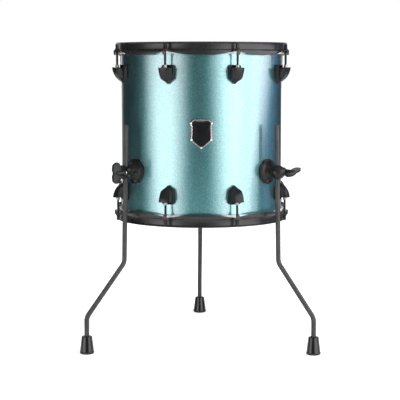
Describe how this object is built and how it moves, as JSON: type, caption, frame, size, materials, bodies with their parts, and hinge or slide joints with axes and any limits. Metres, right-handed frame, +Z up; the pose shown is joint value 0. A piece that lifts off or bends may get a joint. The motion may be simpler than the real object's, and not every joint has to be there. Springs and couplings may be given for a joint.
{
  "type": "floor tom",
  "caption": "Floor tom drum: deep lacquered ply shell between flanged hoops, with shield lugs, tension rods and bent height-adjustable legs in hinged clamps with wing nuts.",
  "frame": {"origin": "on the floor, under the middle of the box that holds the drum and its three legs", "axes": "+Z up along the drum's axis, -Y towards the front with the badge, +X to the right seen from the front"},
  "size_m": [0.5142, 0.509, 0.662],
  "materials": {
    "sparkle_lacquer": "gloss teal metal-flake lacquer on a maple ply shell",
    "black_metal": "satin black plating on cast and pressed metal",
    "black_tube": "black plated steel rod, semi-gloss",
    "rubber": "moulded black rubber",
    "film": "coated polyester film, off-white",
    "bright_steel": "bright plated steel"
  },
  "bodies": {
    "drum": {"shell": "sparkle_lacquer", "badge": "black_metal", "vent_grommet": "bright_steel", "batter_head": "film", "batter_hoop": "black_metal", "lug_top_1": "black_metal", "lug_top_2": "black_metal", "lug_top_3": "black_metal", "lug_top_4": "black_metal", "lug_top_5": "black_metal", "lug_top_6": "black_metal", "lug_top_7": "black_metal", "lug_top_8": "black_metal", "resonant_head": "film", "resonant_hoop": "black_metal", "lug_bottom_1": "black_metal", "lug_bottom_2": "black_metal", "lug_bottom_3": "black_metal", "lug_bottom_4": "black_metal", "lug_bottom_5": "black_metal", "lug_bottom_6": "black_metal", "lug_bottom_7": "black_metal", "lug_bottom_8": "black_metal", "bracket_gasket_front_left": "rubber", "leg_bracket_front_left": "black_metal", "clamp_jaw_front_left": "black_metal", "bracket_gasket_front_right": "rubber", "leg_bracket_front_right": "black_metal", "clamp_jaw_front_right": "black_metal", "bracket_gasket_rear": "rubber", "leg_bracket_rear": "black_metal", "clamp_jaw_rear": "black_metal"},
    "tension_rod_top_1_body": {"tension_rod_top_1": "black_metal"},
    "tension_rod_top_2_body": {"tension_rod_top_2": "black_metal"},
    "tension_rod_top_3_body": {"tension_rod_top_3": "black_metal"},
    "tension_rod_top_4_body": {"tension_rod_top_4": "black_metal"},
    "tension_rod_top_5_body": {"tension_rod_top_5": "black_metal"},
    "tension_rod_top_6_body": {"tension_rod_top_6": "black_metal"},
    "tension_rod_top_7_body": {"tension_rod_top_7": "black_metal"},
    "tension_rod_top_8_body": {"tension_rod_top_8": "black_metal"},
    "tension_rod_bottom_1_body": {"tension_rod_bottom_1": "black_metal"},
    "tension_rod_bottom_2_body": {"tension_rod_bottom_2": "black_metal"},
    "tension_rod_bottom_3_body": {"tension_rod_bottom_3": "black_metal"},
    "tension_rod_bottom_4_body": {"tension_rod_bottom_4": "black_metal"},
    "tension_rod_bottom_5_body": {"tension_rod_bottom_5": "black_metal"},
    "tension_rod_bottom_6_body": {"tension_rod_bottom_6": "black_metal"},
    "tension_rod_bottom_7_body": {"tension_rod_bottom_7": "black_metal"},
    "tension_rod_bottom_8_body": {"tension_rod_bottom_8": "black_metal"},
    "leg_front_left_body": {"leg_front_left": "black_tube", "rubber_foot_front_left": "rubber"},
    "swing_bolt_front_left_body": {"swing_bolt_front_left": "black_metal"},
    "wing_nut_front_left_body": {"wing_nut_front_left": "black_metal"},
    "leg_front_right_body": {"leg_front_right": "black_tube", "rubber_foot_front_right": "rubber"},
    "swing_bolt_front_right_body": {"swing_bolt_front_right": "black_metal"},
    "wing_nut_front_right_body": {"wing_nut_front_right": "black_metal"},
    "leg_rear_body": {"leg_rear": "black_tube", "rubber_foot_rear": "rubber"},
    "swing_bolt_rear_body": {"swing_bolt_rear": "black_metal"},
    "wing_nut_rear_body": {"wing_nut_rear": "black_metal"}
  },
  "joints": [
    {"name": "tension_rod_top_1_turn", "type": "hinge", "parent": "drum", "child": "tension_rod_top_1_body", "pos_m": [0.07828, -0.2417, 0.645], "axis": [0, 0, 1], "continuous": true},
    {"name": "tension_rod_top_2_turn", "type": "hinge", "parent": "drum", "child": "tension_rod_top_2_body", "pos_m": [0.1849, -0.13509, 0.645], "axis": [0, 0, 1], "continuous": true},
    {"name": "tension_rod_top_3_turn", "type": "hinge", "parent": "drum", "child": "tension_rod_top_3_body", "pos_m": [0.1849, 0.01569, 0.645], "axis": [0, 0, 1], "continuous": true},
    {"name": "tension_rod_top_4_turn", "type": "hinge", "parent": "drum", "child": "tension_rod_top_4_body", "pos_m": [0.07828, 0.12231, 0.645], "axis": [0, 0, 1], "continuous": true},
    {"name": "tension_rod_top_5_turn", "type": "hinge", "parent": "drum", "child": "tension_rod_top_5_body", "pos_m": [-0.0725, 0.12231, 0.645], "axis": [0, 0, 1], "continuous": true},
    {"name": "tension_rod_top_6_turn", "type": "hinge", "parent": "drum", "child": "tension_rod_top_6_body", "pos_m": [-0.17911, 0.01569, 0.645], "axis": [0, 0, 1], "continuous": true},
    {"name": "tension_rod_top_7_turn", "type": "hinge", "parent": "drum", "child": "tension_rod_top_7_body", "pos_m": [-0.17911, -0.13509, 0.645], "axis": [0, 0, 1], "continuous": true},
    {"name": "tension_rod_top_8_turn", "type": "hinge", "parent": "drum", "child": "tension_rod_top_8_body", "pos_m": [-0.0725, -0.2417, 0.645], "axis": [0, 0, 1], "continuous": true},
    {"name": "tension_rod_bottom_1_turn", "type": "hinge", "parent": "drum", "child": "tension_rod_bottom_1_body", "pos_m": [0.07828, 0.12231, 0.2894], "axis": [0, 0, 1], "continuous": true},
    {"name": "tension_rod_bottom_2_turn", "type": "hinge", "parent": "drum", "child": "tension_rod_bottom_2_body", "pos_m": [0.1849, 0.01569, 0.2894], "axis": [0, 0, 1], "continuous": true},
    {"name": "tension_rod_bottom_3_turn", "type": "hinge", "parent": "drum", "child": "tension_rod_bottom_3_body", "pos_m": [0.1849, -0.13509, 0.2894], "axis": [0, 0, 1], "continuous": true},
    {"name": "tension_rod_bottom_4_turn", "type": "hinge", "parent": "drum", "child": "tension_rod_bottom_4_body", "pos_m": [0.07828, -0.2417, 0.2894], "axis": [0, 0, 1], "continuous": true},
    {"name": "tension_rod_bottom_5_turn", "type": "hinge", "parent": "drum", "child": "tension_rod_bottom_5_body", "pos_m": [-0.0725, -0.2417, 0.2894], "axis": [0, 0, 1], "continuous": true},
    {"name": "tension_rod_bottom_6_turn", "type": "hinge", "parent": "drum", "child": "tension_rod_bottom_6_body", "pos_m": [-0.17911, -0.13509, 0.2894], "axis": [0, 0, 1], "continuous": true},
    {"name": "tension_rod_bottom_7_turn", "type": "hinge", "parent": "drum", "child": "tension_rod_bottom_7_body", "pos_m": [-0.17911, 0.01569, 0.2894], "axis": [0, 0, 1], "continuous": true},
    {"name": "tension_rod_bottom_8_turn", "type": "hinge", "parent": "drum", "child": "tension_rod_bottom_8_body", "pos_m": [-0.0725, 0.12231, 0.2894], "axis": [0, 0, 1], "continuous": true},
    {"name": "leg_front_left_height", "type": "slide", "parent": "drum", "child": "leg_front_left_body", "axis": [0.0166, 0.0127, 0.9998], "range_m": [-0.08, 0.15]},
    {"name": "swing_bolt_front_left_swing", "type": "hinge", "parent": "drum", "child": "swing_bolt_front_left_body", "pos_m": [-0.14607, -0.19164, 0.3853], "axis": [0, 0, 1], "range_deg": [0, 90]},
    {"name": "wing_nut_front_left_turn", "type": "hinge", "parent": "swing_bolt_front_left_body", "child": "wing_nut_front_left_body", "pos_m": [-0.14607, -0.19164, 0.3853], "axis": [-0.7934, -0.6088, 0], "continuous": true},
    {"name": "leg_front_right_height", "type": "slide", "parent": "drum", "child": "leg_front_right_body", "axis": [-0.0166, 0.0127, 0.9998], "range_m": [-0.08, 0.15]},
    {"name": "swing_bolt_front_right_swing", "type": "hinge", "parent": "drum", "child": "swing_bolt_front_right_body", "pos_m": [0.16889, -0.16943, 0.3853], "axis": [0, 0, 1], "range_deg": [0, 90]},
    {"name": "wing_nut_front_right_turn", "type": "hinge", "parent": "swing_bolt_front_right_body", "child": "wing_nut_front_right_body", "pos_m": [0.16889, -0.16943, 0.3853], "axis": [0.7934, -0.6088, 0], "continuous": true},
    {"name": "leg_rear_height", "type": "slide", "parent": "drum", "child": "leg_rear_body", "axis": [0.0003, -0.0209, 0.9998], "range_m": [-0.08, 0.15]},
    {"name": "swing_bolt_rear_swing", "type": "hinge", "parent": "drum", "child": "swing_bolt_rear_body", "pos_m": [-0.01388, 0.13859, 0.3853], "axis": [0, 0, 1], "range_deg": [0, 90]},
    {"name": "wing_nut_rear_turn", "type": "hinge", "parent": "swing_bolt_rear_body", "child": "wing_nut_rear_body", "pos_m": [-0.01388, 0.13859, 0.3853], "axis": [-0.014, 0.9999, 0], "continuous": true}
  ]
}
